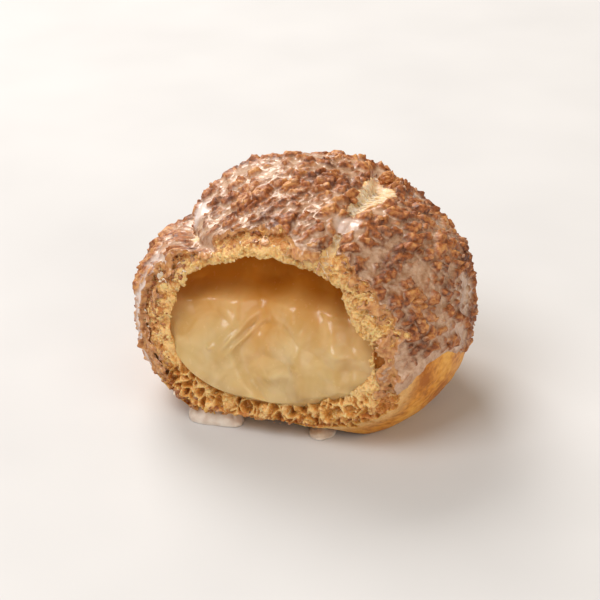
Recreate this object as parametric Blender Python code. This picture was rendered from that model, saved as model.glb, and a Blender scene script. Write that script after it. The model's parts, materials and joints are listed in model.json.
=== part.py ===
"""Cream puff: a craquelin choux bun with a sugar glaze, torn open at the front and filled with custard.

A standalone Blender 4.5 script. Units are metres, +Z is up, and the origin is under the middle of the
bun, on the plane it rests on. Each sub-part is one closed solid with its own material.
"""

import math

import bmesh
import bpy
import numpy as np
from mathutils import Matrix, Vector, noise

MM = 0.001

# The bun's form, before its front was torn away.
BUN_WIDTH = 89 * MM
BUN_DEPTH = 86 * MM
WIDEST_LEVEL = 25 * MM      # height of its widest part above the plate
CROWN_RISE = 36.2 * MM        # from there up to the top
FOOT_DROP = 32.3 * MM         # from there down to the point that the flat underside cuts off
CROWN_POWER = 2.2           # 2 makes an ellipse, more makes it squarer
FOOT_POWER = 2.3
BUN_CENTRE = Vector((-0.5 * MM, -3.2 * MM, WIDEST_LEVEL))
BUN_CUTS = 4                # splits of each edge of a 320-faced ball
FLAT_LIMIT = 0.001 * MM     # what lies lower than this belongs to the flat underside

# Broad swellings and hollows: azimuth from the front, elevation, reach (degrees) and rise.
LOBES = (
    (-82, 44, 25, -5.6 * MM),
    (102, 51, 20, -3.6 * MM),
    (62, 44, 20, 1.3 * MM),
    (-78, 22, 16, 1.2 * MM),
    (85, 25, 9, 0.8 * MM),
    (150, 30, 26, 1.6 * MM),
    (-160, 52, 24, 1.0 * MM),
)

# The craquelin crust: how far it stands on the choux, and the height of its crags and their spacing.
CRUST_STEP = 0.4 * MM
CRAG_RISE = 2.6 * MM
CRAG_SPACING = 4.8 * MM
CRAG_STRETCH = 1.8          # the crags are this much longer along CRAG_RUN than across it
CRAG_RUN = Vector((0.86, 0.48, 0.17)).normalized()

# Cracks where the lobes burst apart: points of azimuth and elevation, half width and depth.
MAIN_CRACK = ((6, 36), (15, 47), (24, 55), (52, 62), (80, 61), (108, 55), (138, 45))
SIDE_CRACK = ((-56, 38), (-70, 37), (-90, 33), (-112, 31))
CRACKS = (
    (MAIN_CRACK, 2.3 * MM, 2.9 * MM),
    (SIDE_CRACK, 2.2 * MM, 2.6 * MM),
)
CRACK_WANDER = 0.035        # how far a crack strays from its points, as a share of the bun's radius
SHOULDER_AWAY = 5.0 * MM    # the crust bulges beside a crack
SHOULDER_REACH = 3.0 * MM
SHOULDER_RISE = 0.7 * MM

# The tear: a nearly upright face at the front left, with the bun's front gone.
TEAR_TURN = math.radians(20)
TEAR_LEAN = math.radians(4)
TEAR_DISTANCE = 28 * MM     # from the bun's axis
TEAR_LEVEL = 27 * MM
TEAR_SPACING = 1.7 * MM     # grid on the torn face
TEAR_WAVE = 1.3 * MM
TEAR_CRUMB = 0.8 * MM
LIP_LIFT = 4.8 * MM         # the lower lip curls up off the plate
LIP_START = 17 * MM         # distance from the axis where it starts to rise
LIP_HEIGHT = 15 * MM        # above this level nothing moves

# The hollow, in the tear's own directions: a mouth that tilts down to the right, and the room behind it.
MOUTH_MIDDLE = (1.0 * MM, 3.4 * MM)
MOUTH_TILT = math.radians(-9)
HOLLOW_HALF_WIDTH = 34 * MM
HOLLOW_HALF_HEIGHT = 24.2 * MM
HOLLOW_HALF_DEPTH = 34 * MM
HOLLOW_POWER = 3.0
MOUTH_POWER = 2.2
LEAST_WALL = 4.3 * MM       # the choux is nowhere thinner than this below its crags

# The crumb of the torn rim: open cells round the mouth, and one large blister at the right.
CELL_COUNT = 36
CELL_RING = (30.3 * MM, 23.0 * MM)
CELL_RADIUS = (0.9 * MM, 1.7 * MM)
BLISTER_PLACE = (30.0 * MM, -0.6 * MM)
BLISTER_SIZE = (1.7 * MM, 4.6 * MM, 2.4 * MM)

# The custard: its gap to the choux, and its face, which leans back from the lower lip.
CUSTARD_GAP = 0.3 * MM
CUSTARD_LIP = 0.2 * MM      # how far it bulges past the tear at the lower lip
CUSTARD_RECESS = 18 * MM    # how far back it lies at the top of the mouth
CUSTARD_LEAN_POWER = 1.9
CUSTARD_LOW = -16 * MM
CUSTARD_HIGH = 20 * MM
CUSTARD_SPACING = 2.4 * MM
# Soft folds: where each crosses the middle, its slope sideways per unit down, half width and rise.
FOLDS = (
    (7.0 * MM, 0.22, 3.6 * MM, 2.0 * MM),
    (-4.4 * MM, 0.10, 3.0 * MM, -1.8 * MM),
    (-12.5 * MM, -0.25, 4.0 * MM, 1.3 * MM),
    (16.5 * MM, 0.30, 2.6 * MM, 1.0 * MM),
    (21.5 * MM, 0.20, 2.8 * MM, -1.0 * MM),
)

# Set glaze at the foot, a thin drip beside it and one loose crust crumb: half sizes, place from the
# bun's axis and turn in degrees.
GLAZE_FOOT = ((7.8 * MM, 4.6 * MM, 5.4 * MM), (-22.8 * MM, -17.2 * MM, 0.1 * MM), -22)
GLAZE_DRIP = ((3.5 * MM, 6.0 * MM, 1.4 * MM), (4.5 * MM, -22.8 * MM, 0.1 * MM), 0)
CRUST_CRUMB = ((2.4 * MM, 1.8 * MM, 2.0 * MM), (20.6 * MM, 2.4 * MM, 59.4 * MM), 30)


def smoothstep(value, low, high):
    part = np.clip((value - low) / (high - low), 0.0, 1.0)
    return part * part * (3.0 - 2.0 * part)


def hump(distance, reach):
    return np.exp(-((distance / reach) ** 2))


def direction(azimuth, elevation):
    """Unit vector for an azimuth from the front, positive to the right, and an elevation, in degrees."""
    turn = math.radians(azimuth)
    climb = math.radians(elevation)
    flat = math.cos(climb)
    return np.array((math.sin(turn) * flat, -math.cos(turn) * flat, math.sin(climb)))


def angle_from(directions, azimuth, elevation):
    return np.degrees(np.arccos(np.clip(directions @ direction(azimuth, elevation), -1.0, 1.0)))


def chord_to_path(directions, path):
    """Distance on the unit sphere from each direction to a path that wanders along its points."""
    wander = CRACK_WANDER * np.column_stack([lumps(directions, 0.22, seed) for seed in (21, 22, 23)])
    places = directions + wander
    nearest = np.full(len(directions), np.inf)
    for first, second in zip(path, path[1:]):
        start = direction(*first)
        run = direction(*second) - start
        along = np.clip((places - start) @ run / (run @ run), 0.0, 1.0)
        gap = np.linalg.norm(places - start - along[:, None] * run, axis=1)
        nearest = np.minimum(nearest, gap)
    return nearest


def lumps(points, size, seed):
    """Noise between about -1 and 1 whose lumps are about `size` apart, a new pattern for each seed."""
    shift = Vector((17.3, 5.9, 11.7)) * seed
    return np.array([noise.noise(Vector(p) / size + shift) for p in points])


def bun_form(directions):
    """Distance from the bun's centre to its smooth form."""
    level = np.hypot(directions[:, 0] / (BUN_WIDTH / 2), directions[:, 1] / (BUN_DEPTH / 2))
    rising = directions[:, 2] > 0
    half = np.where(rising, CROWN_RISE, FOOT_DROP)
    power = np.where(rising, CROWN_POWER, FOOT_POWER)
    return (level**power + np.abs(directions[:, 2] / half) ** power) ** (-1.0 / power)


def crust_cover(directions, points):
    """1 on the craquelin and 0 on the bare choux below its uneven edge."""
    azimuth = np.degrees(np.arctan2(directions[:, 0], -directions[:, 1]))
    elevation = np.degrees(np.arcsin(directions[:, 2]))
    edge = -10.5 + 9.5 * hump(azimuth - 50.0, 17.0) - 8.0 * hump(azimuth + 62.0, 30.0)
    edge = edge + 3.0 * lumps(points, 12 * MM, 2)
    return smoothstep(elevation - edge, -2.5, 2.5)


def crag_height(points):
    """Crags of the craquelin, longer across the slope than down it."""
    run = np.array(CRAG_RUN)
    along = points @ run
    squeezed = points - np.outer(along * (1.0 - 1.0 / CRAG_STRETCH), run)
    return CRAG_RISE * lumps(squeezed, CRAG_SPACING, 1)


def lobed_form(directions):
    """The smooth form with its broad swellings and hollows."""
    radius = bun_form(directions)
    for azimuth, elevation, reach, rise in LOBES:
        radius = radius + rise * hump(angle_from(directions, azimuth, elevation), reach)
    return radius


def bun_radius(directions):
    """Distance from the bun's centre to its skin, with lobes, crust, crags and cracks."""
    radius = lobed_form(directions)
    points = directions * radius[:, None]
    cover = crust_cover(directions, points)
    radius = radius + cover * (CRUST_STEP + crag_height(points))
    for path, half_width, depth in CRACKS:
        away = chord_to_path(directions, path) * radius
        shoulders = SHOULDER_RISE * hump(away - SHOULDER_AWAY, SHOULDER_REACH)
        radius = radius + shoulders - depth * hump(away, half_width)
    return radius


def tear_frame():
    """The tear's side, up and outward directions and its middle, as one matrix."""
    ahead = Vector((-math.sin(TEAR_TURN), -math.cos(TEAR_TURN), 0.0))
    side = Vector((math.cos(TEAR_TURN), -math.sin(TEAR_TURN), 0.0))
    outward = ahead * math.cos(TEAR_LEAN) + Vector((0.0, 0.0, math.sin(TEAR_LEAN)))
    upward = outward.cross(side)
    middle = Vector((BUN_CENTRE.x, BUN_CENTRE.y, TEAR_LEVEL)) + ahead * TEAR_DISTANCE
    frame = Matrix((side, upward, outward)).transposed().to_4x4()
    frame.translation = middle
    return frame


def curl_lip(points):
    """Lift the underside near the tear, so that the lower lip stands off the plate."""
    ahead = np.array((-math.sin(TEAR_TURN), -math.cos(TEAR_TURN), 0.0))
    forward = (points - np.array(BUN_CENTRE)) @ ahead
    low = 1.0 - smoothstep(points[:, 2], 0.0, LIP_HEIGHT)
    lifted = points.copy()
    lifted[:, 2] += LIP_LIFT * smoothstep(forward, LIP_START, TEAR_DISTANCE) * low
    return lifted


def hollow_radius(local):
    """Distance from the hollow's centre to its wall, for directions in the tear's own frame."""
    turned_side = local[:, 0] * math.cos(MOUTH_TILT) + local[:, 1] * math.sin(MOUTH_TILT)
    turned_up = local[:, 1] * math.cos(MOUTH_TILT) - local[:, 0] * math.sin(MOUTH_TILT)
    mouth = np.abs(turned_side / HOLLOW_HALF_WIDTH) ** MOUTH_POWER
    mouth = (mouth + np.abs(turned_up / HOLLOW_HALF_HEIGHT) ** MOUTH_POWER) ** (1.0 / MOUTH_POWER)
    depth = np.abs(local[:, 2] / HOLLOW_HALF_DEPTH)
    smooth = (mouth**HOLLOW_POWER + depth**HOLLOW_POWER) ** (-1.0 / HOLLOW_POWER)
    return smooth + 0.8 * MM * lumps(local * smooth[:, None], 14 * MM, 5)


def tear_relief(side, upward):
    """How far the torn face stands in front of its plane."""
    places = np.column_stack((side, upward, np.zeros(len(side))))
    corner = np.hypot(side + 24 * MM, upward - 22 * MM)
    wave = TEAR_WAVE * lumps(places, 11 * MM, 3) + TEAR_CRUMB * lumps(places, 3.5 * MM, 4)
    return wave - 2.6 * MM * hump(corner, 12 * MM)


def custard_face(side, upward):
    """How far the custard's face stands in front of the tear's plane: it leans back, with soft folds."""
    climb = np.clip((upward - CUSTARD_LOW) / (CUSTARD_HIGH - CUSTARD_LOW), 0.0, 1.3)
    face = CUSTARD_LIP - CUSTARD_RECESS * climb**CUSTARD_LEAN_POWER
    for crossing, slope, half_width, rise in FOLDS:
        fold = hump(side - crossing + slope * upward, half_width)
        face = face + rise * fold * smoothstep(upward, CUSTARD_LOW - 2 * MM, CUSTARD_LOW + 7 * MM)
    return face


def add_object(name, bm, collection, matrix=None):
    """Turn a bmesh into an object whose place is in its mesh."""
    if matrix is not None:
        bmesh.ops.transform(bm, matrix=matrix, verts=bm.verts)
    bmesh.ops.recalc_face_normals(bm, faces=bm.faces)
    mesh = bpy.data.meshes.new(name)
    bm.to_mesh(mesh)
    bm.free()
    piece = bpy.data.objects.new(name, mesh)
    collection.objects.link(piece)
    return piece


def vertex_array(bm):
    return np.array([vert.co for vert in bm.verts])


def place_vertices(bm, points):
    for vert, point in zip(bm.verts, points):
        vert.co = point


def ball(subdivisions, cuts=0):
    """A unit ball of triangles of even size."""
    bm = bmesh.new()
    bmesh.ops.create_icosphere(bm, subdivisions=subdivisions, radius=1.0)
    if cuts:
        bmesh.ops.subdivide_edges(bm, edges=bm.edges[:], cuts=cuts, use_grid_fill=True)
        bmesh.ops.triangulate(bm, faces=bm.faces[:])
    for vert in bm.verts:
        vert.co.normalize()
    return bm


def make_bun(collection):
    """The whole bun, on its flat underside, with the lip curled where it will be torn."""
    bm = ball(3, BUN_CUTS)
    directions = vertex_array(bm)
    radius = bun_radius(directions)
    downward = directions[:, 2] < -0.1
    radius[downward] = np.minimum(radius[downward], BUN_CENTRE.z / -directions[downward, 2])
    place_vertices(bm, curl_lip(directions * radius[:, None] + np.array(BUN_CENTRE)))
    underside = [face for face in bm.faces if all(vert.co.z < FLAT_LIMIT for vert in face.verts)]
    bmesh.ops.dissolve_faces(bm, faces=underside)
    bmesh.ops.triangulate(bm, faces=bm.faces[:])
    return add_object("choux_shell", bm, collection)


def hollow_ball(name, collection, shrink):
    """The hollow's form, or the custard's, which is smaller by its gap."""
    bm = ball(3, 1)
    local = vertex_array(bm)
    local = local * (hollow_radius(local) - shrink)[:, None]
    frame = tear_frame()
    middle = Matrix.Translation((*MOUTH_MIDDLE, -TEAR_DISTANCE))
    place_vertices(bm, local)
    bmesh.ops.transform(bm, matrix=frame @ middle, verts=bm.verts)
    from_centre = vertex_array(bm) - np.array(BUN_CENTRE)
    distance = np.linalg.norm(from_centre, axis=1)
    directions = from_centre / distance[:, None]
    room = lobed_form(directions) - LEAST_WALL - shrink
    place_vertices(bm, directions * np.minimum(distance, room)[:, None] + np.array(BUN_CENTRE))
    return add_object(name, bm, collection)


def torn_block(name, collection, spacing, face_height):
    """A block that fills the space in front of a torn face, whose back side is that face."""
    half = 46 * MM
    depth = 40 * MM
    count = round(2 * half / spacing)
    bm = bmesh.new()
    bmesh.ops.create_grid(bm, x_segments=count, y_segments=count, size=half)
    front = bmesh.ops.extrude_face_region(bm, geom=bm.faces[:], use_keep_orig=True)["geom"]
    moved = [item for item in front if isinstance(item, bmesh.types.BMVert)]
    bmesh.ops.translate(bm, verts=moved, vec=(0, 0, depth))
    points = vertex_array(bm)
    back = points[:, 2] < depth / 2
    points[back, 2] = face_height(points[back, 0], points[back, 1])
    place_vertices(bm, points)
    bmesh.ops.triangulate(bm, faces=bm.faces[:])
    return add_object(name, bm, collection, tear_frame())


def cell_places():
    """Places of the open cells round the mouth, closest together along the lower lip."""
    draw = np.random.default_rng(11)
    places = []
    while len(places) < CELL_COUNT:
        turn = math.radians(draw.normal(-90, 75))
        out = 1.0 + draw.uniform(-0.08, 0.09)
        side = MOUTH_MIDDLE[0] + CELL_RING[0] * out * math.cos(turn)
        upward = 2.4 * MM + CELL_RING[1] * out * math.sin(turn) - 0.12 * side
        radius = draw.uniform(*CELL_RADIUS)
        apart = [math.hypot(side - s, upward - u) > radius + r + 0.4 * MM for s, u, r in places]
        blister = math.hypot(side - BLISTER_PLACE[0], upward - BLISTER_PLACE[1])
        if all(apart) and blister > BLISTER_SIZE[1] + radius:
            places.append((side, upward, radius))
    return places


def make_cells(collection):
    """Cutters for the cells of the crumb and the blister."""
    draw = np.random.default_rng(12)
    bm = bmesh.new()
    for side, upward, radius in cell_places():
        height = float(tear_relief(np.array([side]), np.array([upward]))[0])
        made = bmesh.ops.create_icosphere(bm, subdivisions=1, radius=1.0)["verts"]
        size = Vector((radius, radius * draw.uniform(0.7, 1.1), radius * 1.1))
        turn = Matrix.Rotation(draw.uniform(0, math.pi), 4, "Z")
        place = Matrix.Translation((side, upward, height - 0.25 * radius))
        bmesh.ops.transform(bm, matrix=place @ turn @ Matrix.Diagonal(size).to_4x4(), verts=made)
    made = bmesh.ops.create_icosphere(bm, subdivisions=2, radius=1.0)["verts"]
    place = Matrix.Translation((*BLISTER_PLACE, 0.4 * MM)) @ Matrix.Rotation(math.radians(14), 4, "Z")
    bmesh.ops.transform(bm, matrix=place @ Matrix.Diagonal(BLISTER_SIZE).to_4x4(), verts=made)
    return add_object("crumb_cells", bm, collection, tear_frame())


def make_topping(name, collection, size, place, turn, seed, flat=True):
    """A lump of glaze or crust; a flat one lies on the plate."""
    bm = ball(2)
    points = vertex_array(bm)
    points = points * (1.0 + 0.22 * lumps(points, 0.9, seed))[:, None] * np.array(size)
    if flat:
        points[:, 2] = np.maximum(points[:, 2], 0.0)
    place_vertices(bm, points)
    bmesh.ops.dissolve_degenerate(bm, edges=bm.edges[:], dist=0.02 * MM)
    axis = Matrix.Translation((BUN_CENTRE.x, BUN_CENTRE.y, 0.0))
    matrix = axis @ Matrix.Translation(place) @ Matrix.Rotation(math.radians(turn), 4, "Z")
    return add_object(name, bm, collection, matrix)


def cut_away(target, cutter):
    """Subtract one cutter, and keep the result in the target's mesh."""
    boolean = target.modifiers.new("cut", "BOOLEAN")
    boolean.operation = "DIFFERENCE"
    boolean.solver = "EXACT"
    boolean.object = cutter
    keep_result(target)
    bpy.data.objects.remove(cutter)


def join_toppings(target, toppings):
    """Fuse a collection's objects onto the target, and remove them."""
    boolean = target.modifiers.new("join", "BOOLEAN")
    boolean.operation = "UNION"
    boolean.solver = "EXACT"
    boolean.operand_type = "COLLECTION"
    boolean.collection = toppings
    keep_result(target)
    for piece in list(toppings.objects):
        bpy.data.objects.remove(piece)
    bpy.data.collections.remove(toppings)


def keep_result(target):
    """Replace the target's mesh by its evaluated one, and clear its modifiers."""
    graph = bpy.context.evaluated_depsgraph_get()
    result = bpy.data.meshes.new_from_object(target.evaluated_get(graph))
    target.modifiers.clear()
    target.data = result


def drop_scraps(target):
    """Keep the largest connected body, split into triangles."""
    bm = bmesh.new()
    bm.from_mesh(target.data)
    bmesh.ops.triangulate(bm, faces=bm.faces[:])
    seen = set()
    bodies = []
    for start in bm.verts:
        if start in seen:
            continue
        body = {start}
        edge_of_body = [start]
        while edge_of_body:
            vert = edge_of_body.pop()
            for edge in vert.link_edges:
                other = edge.other_vert(vert)
                if other not in body:
                    body.add(other)
                    edge_of_body.append(other)
        seen |= body
        bodies.append(body)
    bodies.sort(key=len)
    scraps = [vert for body in bodies[:-1] for vert in body]
    bmesh.ops.delete(bm, geom=scraps, context="VERTS")
    bm.to_mesh(target.data)
    bm.free()


def make_shell(puff, cutters, toppings):
    """The choux with its crust and glaze: the bun less its front, its hollow and the cells of its rim."""
    shell = make_bun(puff)
    cut_away(shell, torn_block("tear", cutters, TEAR_SPACING, tear_relief))
    cut_away(shell, hollow_ball("hollow", cutters, 0.0))
    cut_away(shell, make_cells(cutters))
    make_topping("glaze_foot", toppings, *GLAZE_FOOT, seed=6)
    make_topping("glaze_drip", toppings, *GLAZE_DRIP, seed=7)
    make_topping("crust_crumb", toppings, *CRUST_CRUMB, seed=8, flat=False)
    join_toppings(shell, toppings)
    drop_scraps(shell)
    return shell


def make_custard(puff, cutters):
    """The filling: it runs back through the whole hollow, and its face shows in the mouth."""
    custard = hollow_ball("custard", puff, CUSTARD_GAP)
    cut_away(custard, torn_block("custard_front", cutters, CUSTARD_SPACING, custard_face))
    drop_scraps(custard)
    return custard


def finish(piece, name, colour, roughness):
    """Give a piece its own material, and shade it smooth except at sharp edges."""
    material = bpy.data.materials.new(name)
    material.use_nodes = True
    shader = material.node_tree.nodes["Principled BSDF"]
    shader.inputs["Base Color"].default_value = (*colour, 1.0)
    shader.inputs["Roughness"].default_value = roughness
    shader.inputs["Metallic"].default_value = 0.0
    piece.data.materials.clear()
    piece.data.materials.append(material)
    piece.data.shade_smooth()
    piece.data.set_sharp_from_angle(angle=math.radians(50))


def new_collection(name, parent):
    collection = bpy.data.collections.new(name)
    parent.children.link(collection)
    return collection


def main():
    for item in list(bpy.data.objects):
        bpy.data.objects.remove(item)
    scene = bpy.context.scene.collection
    puff = new_collection("cream_puff", scene)
    cutters = new_collection("cutters", scene)
    toppings = new_collection("toppings", scene)
    shell = make_shell(puff, cutters, toppings)
    custard = make_custard(puff, cutters)
    finish(shell, "glazed_choux", (0.42, 0.17, 0.05), 0.5)
    finish(custard, "custard", (0.62, 0.40, 0.17), 0.3)
    bpy.data.collections.remove(cutters)
    for piece in (shell, custard):
        print(piece.name, len(piece.data.polygons), "triangles")


main()
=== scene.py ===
# %% [markdown]
# # A torn cream puff, step by step
# A cream puff is a hollow bun of choux with a crust of craquelin, a sugary dough that cracks as the bun
# swells. This one is dipped in sugar glaze, filled with custard and torn open at the front. The plain
# solids that hold its size are loaded first, and stay fixed; the pieces made here stand for them.

import json
import math

import bmesh
import bpy
import numpy as np
from mathutils import Matrix, Vector, noise

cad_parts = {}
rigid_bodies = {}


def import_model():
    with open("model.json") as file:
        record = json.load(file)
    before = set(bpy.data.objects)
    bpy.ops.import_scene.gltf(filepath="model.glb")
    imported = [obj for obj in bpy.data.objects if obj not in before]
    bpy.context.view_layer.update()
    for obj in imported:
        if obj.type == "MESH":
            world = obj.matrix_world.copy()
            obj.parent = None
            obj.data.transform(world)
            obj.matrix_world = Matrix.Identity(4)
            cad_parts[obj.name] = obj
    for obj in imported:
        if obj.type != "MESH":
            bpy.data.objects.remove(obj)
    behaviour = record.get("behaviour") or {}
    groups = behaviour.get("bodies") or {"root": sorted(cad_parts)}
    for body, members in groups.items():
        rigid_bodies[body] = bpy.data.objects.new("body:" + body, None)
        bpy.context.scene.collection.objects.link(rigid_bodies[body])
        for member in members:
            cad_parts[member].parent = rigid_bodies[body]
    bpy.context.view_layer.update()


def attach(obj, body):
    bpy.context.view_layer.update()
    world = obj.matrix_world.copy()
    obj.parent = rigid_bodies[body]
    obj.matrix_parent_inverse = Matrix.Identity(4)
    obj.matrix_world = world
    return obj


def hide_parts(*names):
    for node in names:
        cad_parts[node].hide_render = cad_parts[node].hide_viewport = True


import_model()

# %% [markdown]
# ## Helpers for pieces
# A rough food surface could be sculpted by hand or displaced in the shader. Here each piece starts as a
# ball or a sheet of small triangles whose points are moved in code, so that the relief is real, shows on
# the outline and stays with the model. Booleans then cut one form out of another.

# %% Make, read, move and paint a mesh
MM = 0.001


def mm(*lengths):
    """Lengths given in millimetres, in metres."""
    return tuple(length * MM for length in lengths)


def add_object(name, data):
    made = bpy.data.objects.new(name, data)
    bpy.context.scene.collection.objects.link(made)
    return made


def new_piece(name, bm):
    """Turn a bmesh into an object whose place is in its mesh."""
    bmesh.ops.recalc_face_normals(bm, faces=bm.faces)
    mesh = bpy.data.meshes.new(name)
    bm.to_mesh(mesh)
    bm.free()
    return add_object(name, mesh)


def points_of(piece):
    points = np.empty(3 * len(piece.data.vertices))
    piece.data.vertices.foreach_get("co", points)
    return points.reshape(-1, 3)


def move_points(piece, points):
    piece.data.vertices.foreach_set("co", points.ravel())
    piece.data.update()


def paint(piece, name, values, where=slice(None)):
    """Store one number at each point, or at those of `where`, for a material to read."""
    layer = piece.data.attributes.get(name) or piece.data.attributes.new(name, "FLOAT", "POINT")
    numbers = np.zeros(len(piece.data.vertices), np.float32)
    numbers[where] = values
    layer.data.foreach_set("value", numbers)


def painted(piece, name):
    """The number stored at each point, or 0 where the piece has none of that name."""
    values = np.zeros(len(piece.data.vertices))
    if name in piece.data.attributes:
        piece.data.attributes[name].data.foreach_get("value", values)
    return values


def split_length(points):
    """The direction to each point and its distance."""
    distance = np.linalg.norm(points, axis=1)
    return points / distance[:, None], distance


def placed(points, matrix):
    """Points moved by a matrix."""
    return points @ np.array(matrix.to_3x3()).T + np.array(matrix.translation)


def fine_ball(name, cuts, subdivisions=4, gather=(0.0, 0.0, 0.0)):
    """A ball of radius 1 made of triangles, finer on the side that `gather` points to."""
    bm = bmesh.new()
    bmesh.ops.create_icosphere(bm, subdivisions=subdivisions, radius=1.0)
    if cuts:
        bmesh.ops.subdivide_edges(bm, edges=bm.edges[:], cuts=cuts, use_grid_fill=True)
        bmesh.ops.triangulate(bm, faces=bm.faces[:])
    ball = new_piece(name, bm)
    move_points(ball, split_length(split_length(points_of(ball))[0] + gather)[0])
    return ball


def finished_mesh(piece):
    """The mesh that a piece has after its modifiers, or that a curve's round section makes."""
    graph = bpy.context.evaluated_depsgraph_get()
    return bpy.data.meshes.new_from_object(piece.evaluated_get(graph))


def carve(piece, cutter):
    """Subtract the cutter, keep the result in the piece's mesh, and remove the cutter."""
    boolean = piece.modifiers.new("carve", "BOOLEAN")
    boolean.operation = "DIFFERENCE"
    boolean.solver = "MANIFOLD"
    boolean.object = cutter
    result = finished_mesh(piece)
    piece.modifiers.clear()
    piece.data = result
    bpy.data.objects.remove(cutter)


# %% Curves and noise that shape every piece
def smoothstep(value, low, high):
    part = np.clip((value - low) / (high - low), 0.0, 1.0)
    return part * part * (3.0 - 2.0 * part)


def hump(distance, reach):
    return np.exp(-((distance / reach) ** 2))


def turned(side, upward, degrees):
    """Lengths along and across a line that is turned from sideways by an angle."""
    turn = math.radians(degrees)
    along = side * math.cos(turn) + upward * math.sin(turn)
    return along, upward * math.cos(turn) - side * math.sin(turn)


def lumps(points, size, seed):
    """Noise between about -1 and 1 whose lumps are about `size` apart, a new pattern for each seed."""
    shift = np.array((17.3, 5.9, 11.7)) * seed
    return np.array([noise.noise(place) for place in (points / size + shift).tolist()])


def creases(points, rise, size, seed):
    """Noise folded at 0, which leaves sharp creases between round backs."""
    return rise * np.abs(lumps(points, size, seed))


def lumps_each_way(points, size, seed):
    """Noise along each of the three axes, from this seed and the next two."""
    return np.column_stack([lumps(points, size, seed + axis) for axis in range(3)])


def cells(points, size, seed):
    """Cells about `size` wide: distance from each point to its cell's wall, and a number for each cell."""
    shift = np.array((7.1, 13.7, 3.3)) * seed
    found = [noise.voronoi(place) for place in (points / size + shift).tolist()]
    to_wall = np.array([distances[1] - distances[0] for distances, _ in found]) * size
    heart = np.array([places[0] for _, places in found])
    return to_wall, np.modf(np.abs(np.sin(heart @ np.array((12.99, 78.23, 37.72))) * 437.5))[0]


# %% [markdown]
# ## The bun's form
# A bun swells into a squashed ball with a flat underside. Its form is given as a distance from one centre
# in every direction, so that the choux, its crust and the cracks between them all follow the same few
# numbers as the solids do.

# %% The smooth form with its lobes
BUN_WIDTH, BUN_DEPTH = 88 * MM, 85.2 * MM
CROWN_RISE, FOOT_DROP = 35.4 * MM, 32.3 * MM
CROWN_POWER, FOOT_POWER = 2.2, 2.3
BUN_CENTRE = np.array((-0.5, -3.2, 25.0)) * MM
# Azimuth from the front, elevation, reach (degrees) and rise of each swelling or hollow.
LOBES = (
    (-82, 44, 25, -5.6 * MM), (102, 51, 20, -3.6 * MM), (62, 44, 20, 1.3 * MM), (-78, 22, 16, 1.2 * MM),
    (85, 25, 9, 0.8 * MM), (150, 30, 26, 1.6 * MM), (-160, 52, 24, 1.0 * MM),
    (-96, 31, 8, -3.4 * MM), (-110, 29, 9, -4.6 * MM), (-125, 28, 10, -3.6 * MM),
)


def direction(azimuth, elevation):
    """Unit vector for an azimuth from the front, positive to the right, and an elevation, in degrees."""
    turn, climb = math.radians(azimuth), math.radians(elevation)
    return np.array((math.sin(turn) * math.cos(climb), -math.cos(turn) * math.cos(climb), math.sin(climb)))


def patch(directions, azimuth, elevation, reach):
    """A soft round patch on the bun: 1 in its middle, and fading over `reach` degrees."""
    nearness = np.clip(directions @ direction(azimuth, elevation), -1.0, 1.0)
    return hump(np.degrees(np.arccos(nearness)), reach)


def smooth_form(directions):
    """Distance from the bun's centre to its smooth form, with broad swellings and hollows."""
    level = np.hypot(directions[:, 0] / (BUN_WIDTH / 2), directions[:, 1] / (BUN_DEPTH / 2))
    rising = directions[:, 2] > 0
    half = np.where(rising, CROWN_RISE, FOOT_DROP)
    power = np.where(rising, CROWN_POWER, FOOT_POWER)
    radius = (level**power + np.abs(directions[:, 2] / half) ** power) ** (-1.0 / power)
    for *spot, rise in LOBES:
        radius = radius + rise * patch(directions, *spot)
    return radius


# %% The cracks where the lobes burst apart
MAIN_CRACK = ((6, 36), (15, 47), (24, 55), (52, 62), (80, 61), (108, 55), (138, 45))
SIDE_CRACK = ((-56, 38), (-70, 37), (-90, 33), (-112, 31))
CRACKS = ((MAIN_CRACK, 2.3 * MM, 2.9 * MM), (SIDE_CRACK, 2.2 * MM, 2.6 * MM))
CRACK_WANDER, WANDER_SIZE = 0.035, 0.22
SHOULDER_AWAY, SHOULDER_REACH, SHOULDER_RISE = mm(5.0, 3.0, 0.7)


def wander(directions):
    return CRACK_WANDER * lumps_each_way(directions, WANDER_SIZE, 21)


def path_from(directions, path):
    """Distance on the unit ball to a wandering path, and the length along the path to the nearest point."""
    places = directions + wander(directions)
    nearest = np.full(len(directions), np.inf)
    reached = np.zeros(len(directions))
    walked = 0.0
    for first, second in zip(path, path[1:]):
        start = direction(*first)
        run = direction(*second) - start
        along = np.clip((places - start) @ run / (run @ run), 0.0, 1.0)
        gap = np.linalg.norm(places - start - along[:, None] * run, axis=1)
        length = np.linalg.norm(run)
        reached = np.where(gap < nearest, walked + along * length, reached)
        nearest = np.minimum(nearest, gap)
        walked += length
    return nearest, reached


def bun_form(directions):
    """The smooth form, its points, the relief of shoulders and cracks, and the way to each crack."""
    form = smooth_form(directions)
    relief = np.zeros(len(directions))
    traces = []
    for path, half_width, depth in CRACKS:
        gap, along = path_from(directions, path)
        away = gap * form
        relief += SHOULDER_RISE * hump(away - SHOULDER_AWAY, SHOULDER_REACH)
        relief -= depth * hump(away, half_width)
        traces.append((away, along * form))
    return form, directions * form[:, None], relief, traces


# %% [markdown]
# ## The crust's edge and the tear
# The craquelin covers the bun down to an uneven edge, and the bare choux shows below it. The tear is a
# nearly upright face at the front left with directions of its own: sideways, upward and outward.

# %% The crust's lower edge
EDGE_LEVEL, EDGE_WAVE, EDGE_WAVE_SIZE = -10.5, 3.0, 12 * MM
# Azimuth, reach and rise of each bend of the edge, in degrees.
EDGE_BENDS = ((50.0, 17.0, 9.5), (-62.0, 30.0, -8.0))


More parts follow.
